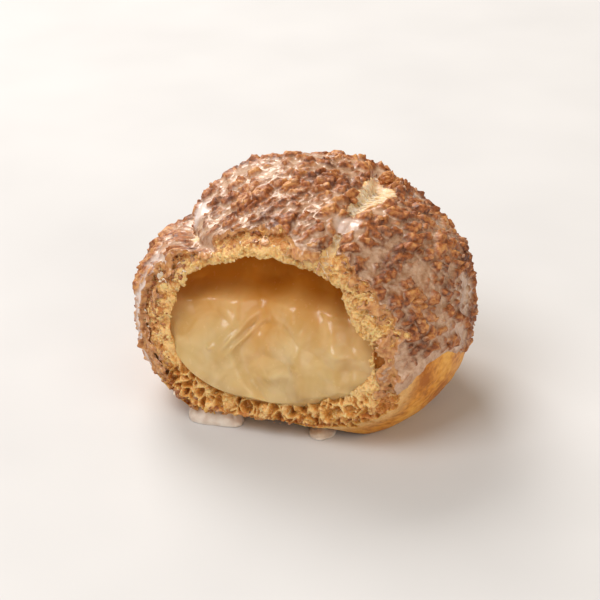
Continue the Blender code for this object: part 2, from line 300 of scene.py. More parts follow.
def above_edge(directions, points):
    """How many degrees each direction lies above the crust's uneven lower edge."""
    azimuth = np.degrees(np.arctan2(directions[:, 0], -directions[:, 1]))
    elevation = np.degrees(np.arcsin(np.clip(directions[:, 2], -1.0, 1.0)))
    edge = np.full(len(directions), EDGE_LEVEL)
    for middle, reach, rise in EDGE_BENDS:
        edge = edge + rise * hump(azimuth - middle, reach)
    return elevation - edge - EDGE_WAVE * lumps(points, EDGE_WAVE_SIZE, 2)


# %% The tear's own directions, and the lip that curls up off the plate
TEAR_TURN, TEAR_LEAN = math.radians(20), math.radians(4)
TEAR_DISTANCE, TEAR_LEVEL = 28 * MM, 27 * MM
LIP_LIFT, LIP_START, LIP_HEIGHT = mm(4.8, 17, 15)
# The lip's left corner curls less.
LIP_CORNER, CORNER_REACH, CORNER_DROP = -22 * MM, 9 * MM, 0.85
AHEAD = np.array((-math.sin(TEAR_TURN), -math.cos(TEAR_TURN), 0.0))
SIDEWAYS = np.array((math.cos(TEAR_TURN), -math.sin(TEAR_TURN), 0.0))


def tear_frame():
    side = Vector(SIDEWAYS)
    outward = Vector(AHEAD) * math.cos(TEAR_LEAN) + Vector((0.0, 0.0, math.sin(TEAR_LEAN)))
    frame_of_tear = Matrix((side, outward.cross(side), outward)).transposed().to_4x4()
    frame_of_tear.translation = Vector((*BUN_CENTRE[:2], TEAR_LEVEL)) + Vector(AHEAD) * TEAR_DISTANCE
    return frame_of_tear


TEAR = tear_frame()


def curl_lip(points):
    forward = (points - BUN_CENTRE) @ AHEAD
    low = 1.0 - smoothstep(points[:, 2], 0.0, LIP_HEIGHT)
    sideways = (points - BUN_CENTRE) @ SIDEWAYS
    low = low * (1.0 - CORNER_DROP * hump(sideways - LIP_CORNER, CORNER_REACH))
    lifted = points.copy()
    lifted[:, 2] += LIP_LIFT * smoothstep(forward, LIP_START, TEAR_DISTANCE) * low
    return lifted


def uncurl_lip(points):
    """Where points on the curled lip were before it curled, found in a few steps."""
    level = points.copy()
    for _ in range(4):
        level[:, 2] -= (curl_lip(level) - points)[:, 2]
    return level


def set_on_bun(ball, radius, directions):
    """Place a ball's points at their distances, on the flat underside and with the lip curled."""
    low = directions[:, 2] < -0.1
    radius = radius.copy()
    radius[low] = np.minimum(radius[low], BUN_CENTRE[2] / -directions[low, 2])
    move_points(ball, curl_lip(directions * radius[:, None] + BUN_CENTRE))


# %% [markdown]
# ## The hollow
# Steam blows the hollow open while the bun bakes, so its wall is a smooth skin with soft bumps. It comes
# out of the bun as a ball with squared sides, and it keeps clear of the crust everywhere.

# %% The hollow's form
HOLLOW_HALF_WIDTH, HOLLOW_HALF_HEIGHT, HOLLOW_HALF_DEPTH = mm(34, 24.2, 34)
HOLLOW_POWER, MOUTH_POWER = 3.0, 2.2
MOUTH_MIDDLE, MOUTH_TILT = mm(1.0, 3.4), -9
# Where the torn mouth is fuller or tighter: direction from the hollow's centre, reach and rise.
MOUTH_SWELLS = (
    ((-0.58, -0.30, 0.76), 0.28, 3.0 * MM), ((-0.30, -0.50, 0.80), 0.22, 1.6 * MM),
    ((0.60, 0.20, 0.77), 0.22, -2.4 * MM), ((0.44, -0.43, 0.79), 0.20, -1.4 * MM),
    ((-0.52, 0.34, 0.78), 0.25, -2.2 * MM),
)
WALL_BUMP, WALL_BUMP_SIZE = 0.8 * MM, 14 * MM
ROUGH_SIZE = 2.6 * MM
LEAST_WALL = 4.3 * MM


def hollow_radius(local):
    """Distance from the hollow's centre to its wall, for directions in the tear's own frame."""
    side, upward = turned(local[:, 0], local[:, 1], MOUTH_TILT)
    mouth = np.abs(side / HOLLOW_HALF_WIDTH) ** MOUTH_POWER
    mouth = (mouth + np.abs(upward / HOLLOW_HALF_HEIGHT) ** MOUTH_POWER) ** (1.0 / MOUTH_POWER)
    depth = np.abs(local[:, 2] / HOLLOW_HALF_DEPTH)
    radius = (mouth**HOLLOW_POWER + depth**HOLLOW_POWER) ** (-1.0 / HOLLOW_POWER)
    for middle, reach, rise in MOUTH_SWELLS:
        radius = radius + rise * hump(np.linalg.norm(local - middle, axis=1), reach)
    return radius + WALL_BUMP * lumps(local * radius[:, None], WALL_BUMP_SIZE, 5)


def hollow_ball(name, cuts, grow=0.0, roughness=0.0):
    """The hollow's form, or the filling's, which is pressed into the wall by `grow`."""
    ball = fine_ball(name, cuts)
    local = points_of(ball)
    local = local * (hollow_radius(local) + grow)[:, None]
    if roughness:
        local = local * (1.0 + roughness * lumps(local, ROUGH_SIZE, 45) / HOLLOW_HALF_DEPTH)[:, None]
    place = TEAR @ Matrix.Translation((*MOUTH_MIDDLE, -TEAR_DISTANCE))
    directions, distance = split_length(placed(local, place) - BUN_CENTRE)
    room = smooth_form(directions) - LEAST_WALL + grow
    move_points(ball, directions * np.minimum(distance, room)[:, None] + BUN_CENTRE)
    return ball


# %% [markdown]
# ## The torn face
# Torn choux is a foam: cells of all sizes with thin walls, larger towards the underside, and fibres where
# it stretched. A cutter with that relief on its back side is taken from the bun, which leaves the relief
# on the bun. Each point of the cutter also keeps how deep its cell is, for the painted shade in deep cells.

# %% Relief of the torn face
TEAR_WAVE, TEAR_CRUMB = 1.3 * MM, 0.8 * MM
# The upper left corner of the face lies further back: its place on the face, reach and depth.
CORNER_SIDE, CORNER_UP, SUNKEN_REACH, SUNKEN_DEPTH = mm(-24, 22, 12, 2.6)
# Where the rim frayed: place on the face, reach and extra reach of the rounding.
FRAYED = (mm(-8, 30, 13, 4.6), mm(-33, 4, 12, 2.2), mm(19, 24, 6, 1.5))
ROUNDING = 0.8
# Size of the cells, half the thickness of their walls, depth, share that is open, only low down, seed.
CELL_KINDS = ((*mm(2.6, 0.05, 2.4), 0.88, True, 1), (*mm(1.4, 0.05, 1.2), 0.55, False, 2))
CELL_STRETCH, CELL_WARP, CELL_WARP_SIZE = (1.0, 0.78, 1.0), 0.9 * MM, 2.4 * MM
BOWL_WIDTH, HIGH_CELLS, HIGH_CRUMBS = 0.34, 0.45, 0.55
# How far below the tear's middle the large cells begin, and are at their full depth.
LOW_CELLS = mm(6, 15)
# Rise, size and seed of crumbs, small crumbs, flakes and the folds that they lie on.
CRUMBS, SMALL_CRUMBS = (*mm(1.0, 1.7), 48), (*mm(0.55, 0.85), 49)
FLAKE_RISE, FLAKE_SIZE, CRUMB_FOLDS = 0.3 * MM, 0.6 * MM, (*mm(0.8, 3.6), 39)
BLISTER_SIDE, BLISTER_UP, BLISTER_TURN = 30.0 * MM, -0.6 * MM, 14
BLISTER_HALF_WIDTH, BLISTER_HALF_LENGTH, BLISTER_DEPTH = mm(2.1, 6.2, 2.6)


def on_plane(side, upward):
    """Points on the tear's plane, in its own frame."""
    return np.column_stack((side, upward, np.zeros(len(side))))


def tear_wave(side, upward):
    """How far the torn face stands in front of its plane, before its cells."""
    places = on_plane(side, upward)
    wave = TEAR_WAVE * lumps(places, 11 * MM, 3) + TEAR_CRUMB * lumps(places, 3.5 * MM, 4)
    return wave - SUNKEN_DEPTH * hump(np.hypot(side - CORNER_SIDE, upward - CORNER_UP), SUNKEN_REACH)


def rim_place(side, upward):
    """How far each point of the tear's plane lies inside the bun's skin, and outside the mouth."""
    points = uncurl_lip(placed(on_plane(side, upward), TEAR)) - BUN_CENTRE
    directions, distance = split_length(points)
    to_skin = smooth_form(directions) - distance
    middle = (*MOUTH_MIDDLE, -TEAR_DISTANCE)
    local, reach = split_length(on_plane(side, upward) - middle)
    return to_skin, np.maximum(reach - hollow_radius(local), LEAST_WALL - to_skin)


def round_over(distance, reach):
    """How far a rounded edge has dropped, at a distance inside it."""
    return reach * (1.0 - np.sqrt(1.0 - (1.0 - np.clip(distance / reach, 0.0, 1.0)) ** 2))


def torn_form(side, upward, to_skin, to_mouth):
    """The torn face as a rounded, wavy rim."""
    places = on_plane(side, upward)
    outer = (2.2 + 1.2 * lumps(places, 6 * MM, 46)) * MM
    for left, up, reach, extra in FRAYED:
        outer = outer + extra * hump(np.hypot(side - left, upward - up), reach)
    inner = (2.6 + 0.8 * lumps(places, 5 * MM, 47)) * MM
    face = tear_wave(side, upward) - ROUNDING * round_over(to_skin, outer)
    return face - ROUNDING * round_over(to_mouth, inner)


def cell_relief(side, upward):
    """Depth of the open cells, between thin ragged walls."""
    places = on_plane(side, upward)
    warped = places * CELL_STRETCH + CELL_WARP * lumps_each_way(places, CELL_WARP_SIZE, 41)
    lower = smoothstep(-upward, *LOW_CELLS)
    depth = np.zeros(len(side))
    for size, wall, bowl, share, low_only, seed in CELL_KINDS:
        to_wall, number = cells(warped, size, seed)
        open_cell = smoothstep(number, 1.0 - share - 0.05, 1.0 - share + 0.05)
        strength = open_cell * (lower if low_only else HIGH_CELLS + (1.0 - HIGH_CELLS) * lower)
        dip = bowl * strength * (0.5 + number / 2) * smoothstep(to_wall, wall, BOWL_WIDTH * size)
        depth = np.maximum(depth, dip)
    crumbly = creases(warped, *CRUMBS) * (HIGH_CRUMBS + (1.0 - HIGH_CRUMBS) * lower)
    crumbly = crumbly + creases(warped, *SMALL_CRUMBS)
    flaky = FLAKE_RISE * lumps(places, FLAKE_SIZE, 50) + creases(places, *CRUMB_FOLDS)
    return depth + crumbly + flaky


def blister_depth(side, upward):
    """The smooth pocket that a large bubble left at the right of the mouth."""
    across, length = turned(side - BLISTER_SIDE, upward - BLISTER_UP, BLISTER_TURN)
    inside = 1.0 - (across / BLISTER_HALF_WIDTH) ** 2 - (length / BLISTER_HALF_LENGTH) ** 2
    return BLISTER_DEPTH * np.sqrt(np.clip(inside, 0.0, 1.0))


# %% A block in front of a torn face
BLOCK_DEPTH = 40 * MM


def torn_block(name, spacing, half_width, half_height):
    """A block on the tear's plane; which points are on its back side, and their places on the plane."""
    bm = bmesh.new()
    steps = [round(2 * half / spacing) for half in (half_width, half_height)]
    bmesh.ops.create_grid(bm, x_segments=steps[0], y_segments=steps[1], size=1.0)
    bmesh.ops.scale(bm, vec=(half_width, half_height, 1.0), verts=bm.verts)
    front = bmesh.ops.extrude_face_region(bm, geom=bm.faces[:], use_keep_orig=True)["geom"]
    moved = [item for item in front if isinstance(item, bmesh.types.BMVert)]
    bmesh.ops.translate(bm, verts=moved, vec=(0, 0, BLOCK_DEPTH))
    bmesh.ops.triangulate(bm, faces=bm.faces[:])
    block = new_piece(name, bm)
    points = points_of(block)
    back = points[:, 2] < BLOCK_DEPTH / 2
    return block, back, points[back, 0], points[back, 1]


def stand_in_front(block, back, height):
    """Give the block's back side its height, and stand it in front of the tear."""
    points = points_of(block)
    points[back, 2] = height
    move_points(block, placed(points, TEAR))


FACE_SPACING, FACE_FORWARD = 0.21 * MM, 0.4 * MM
tear, on_face, across, upward = torn_block("tear", FACE_SPACING, 48 * MM, 33 * MM)
to_skin, to_mouth = rim_place(across, upward)
blister = blister_depth(across, upward)
pore = np.where(blister > 0, 0.0, cell_relief(across, upward))
face = torn_form(across, upward, to_skin, to_mouth) + FACE_FORWARD - pore - blister
stand_in_front(tear, on_face, face)
# The baked rind reaches further in at the left.
rind = hump(to_skin, 1.8 * MM + 2.4 * MM * smoothstep(-across, 20 * MM, 30 * MM))
for name, values in (("torn", 1.0), ("pore", pore / MM), ("blister", blister / MM), ("rind", rind)):
    paint(tear, name, values, on_face)
print("torn face:", len(tear.data.vertices), "points, cells up to", round(pore.max() / MM, 1), "mm deep")

# %% [markdown]
# ## The craquelin crust
# As the bun swells, the crust breaks into lobes, and its surface into crags a few millimetres wide. The
# sugar glaze then runs off the crags and pools between them. The surface is therefore the higher of two
# levels, crag or glaze, joined by a soft rounded foot, and the glaze's depth is kept to colour it.

# %% Crags and glaze
CRAG_RISE, CRAG_SPACING, CRAG_STRETCH = 1.5 * MM, 3.3 * MM, 1.8
CRAG_RUN = np.array((0.86, 0.48, 0.17)) / np.linalg.norm((0.86, 0.48, 0.17))
# The lowest crag, what a higher one adds and the channels' depth, as shares of CRAG_RISE.
CRAG_LOWEST, CRAG_MORE, CHANNEL, CHANNEL_WIDTH = 0.5, 0.8, 0.6, 0.42
BEND, BEND_SIZE, SWELL, SWELL_SIZE = mm(1.2, 2.8, 1.5, 5.5)
CREASE, CREASE_SIZE, CREASE_MEAN = 1.2 * MM, 2.0 * MM, 0.2
GRIT, GRIT_SIZE, FINE_GRIT, FINE_GRIT_SIZE, GRIT_PATCH = mm(0.7, 1.1, 0.35, 0.75, 8)
GRIT_MEAN, GRIT_LEAST = 0.25, 0.4
CRUST_STEP, LEDGE, LEDGE_SHARE = 0.2 * MM, 0.7 * MM, 0.75
SHOULDER_DROP = 1.8 * MM
FILM_WAVE, MENISCUS, GLAZE_SAG = 0.3 * MM, 0.13 * MM, 0.2
# The film's level, and its drop on the lobe that has less glaze, in millimetres.
FILM_LEVEL, DRY_DROP = -0.55, 0.3
DRY_LOBE = (62, 30, 42)
# Where the glaze lies thicker: azimuth, elevation, reach in degrees, extra height, and whiteness that is
# partly milky glaze and partly a painted reflection.
GLAZE_POOLS = (
    (-98, 40, 7, 0.8 * MM, 1.0), (32, -8, 6, 1.5 * MM, 0.0), (41, -4, 6, 1.2 * MM, 0.0),
    (52, 4, 6, 0.7 * MM, 0.0), (64, 2, 7, 0.6 * MM, 0.1), (-30, 66, 18, -0.5 * MM, 0.0),
    (-150, 25, 12, 0.5 * MM, 0.3), (140, 5, 12, 0.8 * MM, 0.2), (29, 56, 5, 2.2 * MM, 0.5),
    (-76, 12, 14, 0.5 * MM, 0.8), (-80, -8, 11, 0.4 * MM, 0.8), (36, 38, 10, -0.9 * MM, 0.0),
)


def crags(points):
    """Height of the craquelin's crags, and how much each point lies in a crevice."""
    along = points @ CRAG_RUN
    squeezed = points - np.outer(along * (1.0 - 1.0 / CRAG_STRETCH), CRAG_RUN)
    bent = squeezed + BEND * lumps_each_way(points, BEND_SIZE, 36)
    # Each crag is an island of dough, higher or lower than the next, with a channel round it.
    to_wall, number = cells(bent, CRAG_SPACING, 58)
    island = smoothstep(to_wall, 0.0, CHANNEL_WIDTH * CRAG_SPACING)
    height = CRAG_RISE * ((CRAG_LOWEST + CRAG_MORE * number) * island - CHANNEL)
    height = height + SWELL * lumps(squeezed, SWELL_SIZE, 1)
    height = height + CREASE * (np.abs(lumps(bent, CREASE_SIZE, 31)) - CREASE_MEAN)
    gritty = GRIT_LEAST + (1.0 - GRIT_LEAST) * smoothstep(lumps(points, GRIT_PATCH, 34), -0.25, 0.25)
    grit = GRIT * (GRIT_MEAN - np.abs(lumps(bent, GRIT_SIZE, 32)))
    height = height + gritty * (grit + FINE_GRIT * lumps(points, FINE_GRIT_SIZE, 35))
    # Sugary dough breaks in small ledges.
    ledges = LEDGE_SHARE * LEDGE / (2 * math.pi) * np.sin(2 * math.pi * height / LEDGE)
    return height - ledges, 1.0 - island


def glaze_level(directions, points):
    """Height up to which the glaze fills the crust, how much it is a pool and not a film, and how white,
    partly as painted sheen.
    """
    level = (FILM_LEVEL - DRY_DROP * patch(directions, *DRY_LOBE)) * MM
    level = level + FILM_WAVE * lumps(points, 6 * MM, 33)
    pooled, white_and_sheen = np.zeros(len(points)), np.zeros(len(points))
    for *spot, extra, whiteness_and_sheen in GLAZE_POOLS:
        pool = patch(directions, *spot)
        level = level + extra * pool
        pooled = np.maximum(pooled, np.minimum(extra / MM, 1.0) * smoothstep(pool, 0.2, 0.6))
        white_and_sheen = np.maximum(white_and_sheen, whiteness_and_sheen * smoothstep(pool, 0.15, 0.6))
    return level, pooled, white_and_sheen


def crust_surface(directions):
    """Distance to the crust's surface, and the glaze's depth, crag's height, crevice and whiteness with
    painted sheen there.
    """
    form, points, relief, _ = bun_form(directions)
    crag, crevice = crags(points)
    level, pooled, white_and_sheen = glaze_level(directions, points)
    height = level + MENISCUS * np.logaddexp(0.0, (crag - level) / MENISCUS)
    # Away from the pools the film sags into the crags.
    height = height + GLAZE_SAG * (1.0 - pooled) * np.minimum(crag - level, 0.0)
    # The crags get lower towards the crust's edge.
    height = height * (0.35 + 0.65 * smoothstep(above_edge(directions, points), -1.0, 5.0))
    shoulders = np.maximum(relief, -SHOULDER_DROP)
    return form + CRUST_STEP + shoulders + height, level - crag, crag, crevice, white_and_sheen


# %% [markdown]
# ## The choux body
# The bun's inside and its bare skin are one piece of choux. Under the crust it lies lower, so that the
# crust has room; in the cracks it shows as pale dough, stretched into fibres across the split.

# %% Where the crust lies, and the fibres in the cracks
# Length along each crack and half width of the gap in the crust there, in millimetres.
CRACK_OPEN = (
    ((0, 6, 13, 16, 21, 25, 34, 42, 50, 58), (0.7, 1.3, 1.0, -1.0, 0.4, 1.6, 3.4, 3.4, 2.0, 0.8)),
    ((0, 8, 20, 34), (-0.6, 0.2, 0.9, 0.3)),
)
CRUST_THICKNESS, SHELL_SHARE = 1.0 * MM, 1.6
# Where the dough bulges out of the main crack: length along it, reach, width and rise.
BULGE_ALONG, BULGE_REACH, BULGE_WIDTH, BULGE_RISE = mm(36, 12, 3.5, 1.3)
FIBRE_RISE, FIBRE_SPACING, FIBRE_REACH = mm(0.3, 1.8, 4)
FIBRE_STRETCH = 0.3


def crust_gap(directions, traces):
    """Signed distance to the nearest crack's edge: below 0 inside a crack, where no crust lies."""
    gaps = []
    ragged = 0.9 * MM * lumps(directions, 0.06, 51) + 0.6 * MM * lumps(directions, 0.025, 52)
    for (away, along), (lengths, half_widths) in zip(traces, CRACK_OPEN):
        gaps.append(away - MM * np.interp(along / MM, lengths, half_widths) + ragged)
    return np.minimum(*gaps)


def body_radius(directions):
    """Distance to the choux's skin, with how much of it is a pale fibrous crack."""
    form, points, relief, traces = bun_form(directions)
    gap = crust_gap(directions, traces)
    under = smoothstep(above_edge(directions, points), 0.4, 2.6) * smoothstep(gap, 0.2 * MM, 1.6 * MM)
    split = 1.0 - smoothstep(gap, 0.0, 1.2 * MM)
    fibres = np.zeros(len(directions))
    for away, along in traces:
        strands = np.column_stack((along, away * FIBRE_STRETCH, 0 * along))
        strands = strands + 0.5 * MM * lumps(points, 2 * MM, 54)[:, None]
        fibres += hump(away, FIBRE_REACH) * FIBRE_RISE * lumps(strands, FIBRE_SPACING, 53)
    skin = 0.18 * MM * lumps(points, 2.2 * MM, 55) + 0.25 * MM * lumps(points, 7 * MM, 56)
    away, along = traces[0]
    bulge = hump(away, BULGE_WIDTH) * hump(along - BULGE_ALONG, BULGE_REACH)
    bare = form + relief + BULGE_RISE * bulge + split * fibres + skin
    covered = crust_surface(directions)[0] - CRUST_THICKNESS
    return bare * (1.0 - under) + covered * under, split * (under < 0.99)


# %% Make the choux body
body = fine_ball("choux_body", cuts=8, gather=0.3 * direction(50, 50))
ways = points_of(body)
radius, split = body_radius(ways)
set_on_bun(body, radius, ways)
paint(body, "split", split)
# Close to the tear the skin is as crumbly as the tear itself.
in_front = (points_of(body) - np.array(TEAR.translation)) @ np.array(TEAR.to_3x3())[:, 2]
paint(body, "torn", 0.9 * smoothstep(in_front, -9 * MM, -3 * MM))
paint(body, "pore", 0.6)
carve(body, tear)
hollow = hollow_ball("hollow", cuts=4, roughness=0.6 * MM)
paint(hollow, "inside", 1.0)
carve(body, hollow)
print("choux body:", len(body.data.polygons), "triangles")

# %% [markdown]
# ## The crust's shell
# The crust could be a thickened sheet, but then its walls cross where the crags are steep. Here it is a
# whole ball less a second ball just below its surface, which leaves one closed shell.

# %% Cut the crust's shell
FINE_SIDE = 0.35 * direction(15, 35)
# By the torn rim at the left the crust broke up and is paler: azimuth, elevation and reach in degrees.
PALE_PATCH = (-66, 0, 24)


def crust_underside(directions):
    """Distance to the crust's underside; where no crust lies, it passes outside the crust's surface."""
    form, points, _, traces = bun_form(directions)
    edge = np.radians(above_edge(directions, points) + 0.9 * lumps(points, 2.5 * MM, 57)) * form
    kept = smoothstep(np.minimum(crust_gap(directions, traces), edge), -0.25 * MM, 0.25 * MM)
    under = crust_surface(directions)[0] - SHELL_SHARE * CRUST_THICKNESS
    return under * kept + (form + 6 * MM) * (1.0 - kept)


crust = fine_ball("craquelin_crust", cuts=12, gather=FINE_SIDE)
ways = points_of(crust)
radius, glaze, crag, crevice, white_and_sheen = crust_surface(ways)
set_on_bun(crust, radius, ways)
stored = {"glaze": glaze / MM, "crag": crag / MM, "crevice": crevice, "white_and_sheen": white_and_sheen}
stored["pale"] = patch(ways, *PALE_PATCH)
for name, values in stored.items():
    paint(crust, name, values)
under = fine_ball("underside", cuts=5, gather=FINE_SIDE)
ways = points_of(under)
set_on_bun(under, crust_underside(ways), ways)
edge_tear, on_face, across, upward = torn_block("edge_tear", 0.35 * MM, 50 * MM, 36 * MM)
places = on_plane(across, upward)
ragged = 2.0 * MM * lumps(places, 4 * MM, 59) - creases(places, 1.6 * MM, 1.3 * MM, 60) + 0.6 * MM
stand_in_front(edge_tear, on_face, torn_form(across, upward, *rim_place(across, upward)) + ragged)
for cutter in (under, edge_tear):
    paint(cutter, "broken", 1.0)
    carve(crust, cutter)
print("crust:", len(crust.data.polygons), "triangles")

# %% [markdown]
# ## The custard
# Custard is a smooth, glossy cream that was piped in and sheared by the tear, so its face leans back from
# the lower lip and carries a few soft folds. It fills the hollow, and its face is cut by a finer block.

# %% The custard's face
CUSTARD_PRESS = 0.3 * MM
CUSTARD_LIP, CUSTARD_RECESS, CUSTARD_LEAN_POWER = 0.2 * MM, 18 * MM, 1.9
CUSTARD_LOW, CUSTARD_HIGH = -16 * MM, 20 * MM
FOLDS_FROM, FOLDS_TO = CUSTARD_LOW - 2 * MM, CUSTARD_LOW + 7 * MM
# The slope of each fold sideways per unit down, where it crosses the middle, its half width and rise.
FOLDS = (
    (0.22, *mm(7.0, 3.6, 2.0)), (0.10, *mm(-3.6, 3.8, -2.2)), (-0.25, *mm(-12.5, 4.0, 1.3)),
    (0.30, *mm(16.5, 2.6, 1.0)), (0.20, *mm(21.5, 2.8, -1.0)),
)
# The crest above which the cream was pulled away: its level, place, bend and drop.
CREST_LEVEL, CREST_SIDE, CREST_BEND, CREST_DROP = 8.4 * MM, 3 * MM, 3.5, 3.2 * MM
CREST_EDGE, CREST_RISE, CREST_REACH = mm(-0.5, 3.5), 0.8 * MM, 5 * MM
# The mound at the left ends in a soft edge: its place, level, bend and rise.
MOUND_SIDE, MOUND_LEVEL, MOUND_BEND, MOUND_RISE = -8.6 * MM, -3.5 * MM, 55.0, 1.7 * MM
MOUND_EDGE, MOUND_REACH, MOUND_TOP = mm(-0.9, 1.3), 10 * MM, mm(-7, -2)
# Rise, width and seed of the cream's soft waves, which are longer sideways, and how far they sink.
CREAM_WAVES, WAVE_STRETCH, WAVE_SINK = ((*mm(1.8, 9), 61), (*mm(0.35, 3.4), 62)), 0.7, 0.3 * MM
# Small ridges in the cream: turn in degrees, place on the face, half length, half width and rise.
RIDGES = (
    (48, *mm(-6.9, -0.6, 4.2, 0.6, 1.3)), (52, *mm(-9.9, -0.8, 2.8, 0.55, 1.0)),
    (20, *mm(-15.2, -3.4, 1.1, 0.7, 1.0)), (-12, *mm(19.0, -1.0, 3.4, 1.3, 0.8)),
    (24, *mm(1.0, -9.0, 8.0, 1.6, 0.8)), (75, *mm(9.0, 1.0, 7.0, 1.8, 0.5)),
)


def custard_face(side, upward):
    """How far the custard's face stands in front of the tear's plane."""
    climb = np.clip((upward - CUSTARD_LOW) / (CUSTARD_HIGH - CUSTARD_LOW), 0.0, 1.3)
    face = CUSTARD_LIP - CUSTARD_RECESS * climb**CUSTARD_LEAN_POWER
    for slope, crossing, half_width, rise in FOLDS:
        fold = hump(side - crossing + slope * upward, half_width)
        face = face + rise * fold * smoothstep(upward, FOLDS_FROM, FOLDS_TO)
    above = upward - (CREST_LEVEL - CREST_BEND * (side - CREST_SIDE) ** 2)
    face = face - CREST_DROP * smoothstep(above, *CREST_EDGE) + CREST_RISE * hump(above, CREST_REACH)
    past = side - MOUND_SIDE - MOUND_BEND * (upward - MOUND_LEVEL) ** 2
    mound = (1.0 - smoothstep(past, *MOUND_EDGE)) * hump(past, MOUND_REACH)
    face = face + MOUND_RISE * (mound * smoothstep(-upward, *MOUND_TOP))
    for degrees, left, up, half_length, half_width, rise in RIDGES:
        along, away = turned(side - left, upward - up, degrees)
        face = face + rise * hump(along, half_length) * hump(away, half_width)
    places = on_plane(side * WAVE_STRETCH, upward)
    return face + sum(creases(places, *wave) for wave in CREAM_WAVES) - WAVE_SINK


custard = hollow_ball("custard_filling", cuts=3, grow=CUSTARD_PRESS)
shear, on_face, across, upward = torn_block("shear", 0.32 * MM, 46 * MM, 36 * MM)
recess = custard_face(across, upward)
stand_in_front(shear, on_face, recess)
paint(shear, "recess", -recess / MM, on_face)
carve(custard, shear)
print("custard:", len(custard.data.polygons), "triangles")

# %% [markdown]
# ## Set glaze at the foot
# Glaze that ran off the bun set where it met the plate: a thick milky lump at the left, and a thin drip
# under the lip. Each starts as a ball that is flattened, made uneven and cut off level.

# %% Lumps of glaze and a crust crumb
# Half sizes, place from the bun's axis and turn in degrees.
GLAZE_FOOT = (mm(7.8, 4.6, 5.4), mm(-22.8, -17.2, 0.1), -22)
GLAZE_DRIP = (mm(3.5, 6.0, 1.4), mm(4.5, -22.8, 0.1), 0)
CRUST_CRUMB = (mm(2.4, 1.8, 2.0), mm(21.6, 14.4, 53.7), 30)


def make_lump(name, size, place, turn, seed, flat=True, fine=0.05):
    """An uneven lump; a flat one is cut off level at its foot."""
    lump = fine_ball(name, cuts=2)
    points = points_of(lump)
    swell = 1.0 + 0.22 * lumps(points, 0.9, seed) + fine * lumps(points, 0.3, seed + 50)
    points = points * swell[:, None] * np.array(size)
    if flat:
        points[:, 2] = np.maximum(points[:, 2], 0.0)
    spin = np.array(Matrix.Rotation(math.radians(turn), 3, "Z"))
    move_points(lump, points @ spin.T + np.array(place) + BUN_CENTRE * (1, 1, 0))
    return lump


glaze_foot = make_lump("glaze_foot", *GLAZE_FOOT, seed=6)
glaze_drip = make_lump("glaze_drip", *GLAZE_DRIP, seed=7)
crust_crumb = make_lump("crust_crumb", *CRUST_CRUMB, seed=8, flat=False, fine=0.22)
paint(crust_crumb, "glaze", -1.0)
paint(crust_crumb, "crag", 1.2)
for lump in (glaze_foot, glaze_drip, crust_crumb):
    print(lump.name, "at", [round(1000 * side, 1) for side in points_of(lump).mean(0)], "mm")

# %% [markdown]
# ## Strands in the crack
# Where the lobes pulled apart, the dough stretched into strands that cross the split. Each strand is a thin
# curve with a round section that follows the dough below and is buried at both ends.

# %% Strands of stretched dough
# Length along the crack where strands start and end, their number and their thickness.
STRAND_RUNS = ((24, 52, 110, 0.2), (2, 14, 22, 0.15))
STRAND_STEPS = np.linspace(-1.0, 1.0, 11)
STRAND_SLANT, STRAND_SHIFT, STRAND_REACH = 1.0, 0.5, (0.4, 0.85)


def crack_place(path, along):
    """Direction to a place along a crack, and the direction that crosses the crack there."""
    walked = 0.0
    for first, second in zip(path, path[1:]):
        start = Vector(direction(*first))
        run = Vector(direction(*second)) - start
        if along <= walked + run.length:
            break
        walked += run.length
    place = start + run * min((along - walked) / run.length, 1.0)
    return np.array(place), np.array(place.cross(run).normalized())


rng = np.random.default_rng(11)
ways, thickness = [], []
for first, last, number, thick in STRAND_RUNS:
    for along in rng.uniform(first, last, number):
        slant, shift = rng.normal(0.0, STRAND_SLANT), rng.normal(0.0, STRAND_SHIFT)
        half = MM * (rng.uniform(*STRAND_REACH) * np.interp(along, *CRACK_OPEN[0]) + 0.5)
        for step in STRAND_STEPS:
            reached = (along + slant * step) * MM / np.mean((BUN_WIDTH, BUN_DEPTH)) * 2
            place, cross = crack_place(MAIN_CRACK, reached)
            ways.append(place + cross * (half * step + shift * MM) / (BUN_DEPTH / 2))
        thickness.append(thick * rng.uniform(0.5, 1.2))
ways = np.array(ways)
ways = split_length(ways - wander(ways))[0]
steps = np.tile(STRAND_STEPS, len(thickness))
lift = np.repeat(rng.uniform(-0.2, 0.3, len(thickness)), len(STRAND_STEPS)) * (1.0 - steps**2)
radius = body_radius(ways)[0] + MM * (lift + 0.1 - 0.4 * steps**4)
places = ways * radius[:, None] + BUN_CENTRE
curve = bpy.data.curves.new("crack_strands", "CURVE")
curve.dimensions = "3D"
curve.bevel_depth = 1.0 * MM
curve.bevel_resolution = 1
curve.use_fill_caps = True
for number, thick in enumerate(thickness):
    spline = curve.splines.new("POLY")
    spline.points.add(len(STRAND_STEPS) - 1)
    for point, place, step in zip(spline.points, places[number * len(STRAND_STEPS) :], STRAND_STEPS):
        point.co = (*place, 1.0)
        point.radius = thick * (1.0 - 0.7 * step**2)
guide = add_object("strand_guide", curve)
crack_strands = add_object("crack_strands", finished_mesh(guide))
bpy.data.objects.remove(guide)
paint(crack_strands, "split", 1.0)
print("strands:", len(thickness))

# %% [markdown]
# ## Grains, crumbs and chips
# A baked crust sheds grains, and a tear leaves crumbs and chips of glaze on its rim. They are small rough
# lumps sunk into the surface, set by a seeded draw, more of them where the real ones gather.

# %% Scatter rough grains over a surface
GRAIN_SINK, GRAIN_SWELL, GRAIN_FLOOR = 0.2, 0.5, 0.05 * MM


